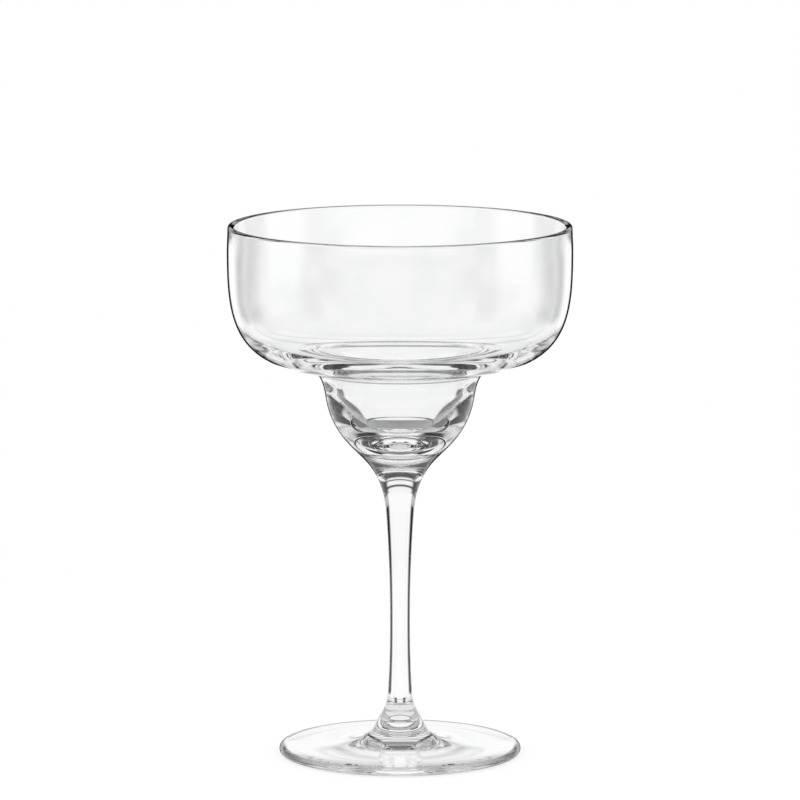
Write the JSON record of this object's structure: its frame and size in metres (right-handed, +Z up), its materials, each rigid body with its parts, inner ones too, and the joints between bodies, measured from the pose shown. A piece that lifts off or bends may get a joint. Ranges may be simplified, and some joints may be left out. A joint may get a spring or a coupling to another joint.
{
  "type": "margarita glass",
  "caption": "Stemmed cocktail glass in clear glass: a wide round bowl stepped into a small lower cup, on a slender drawn stem and a broad round foot.",
  "frame": {"origin": "centre of the foot's resting ring, on the table", "axes": "+Z up along the glass's axis of revolution; X and Y are free, the glass is round"},
  "size_m": [0.1128, 0.1128, 0.175],
  "materials": {
    "bowl_glass": "polished",
    "stem_glass": "polished",
    "foot_glass": "polished"
  },
  "bodies": {
    "root": {"bowl": "bowl_glass", "stem": "stem_glass", "foot": "foot_glass"}
  },
  "joints": []
}
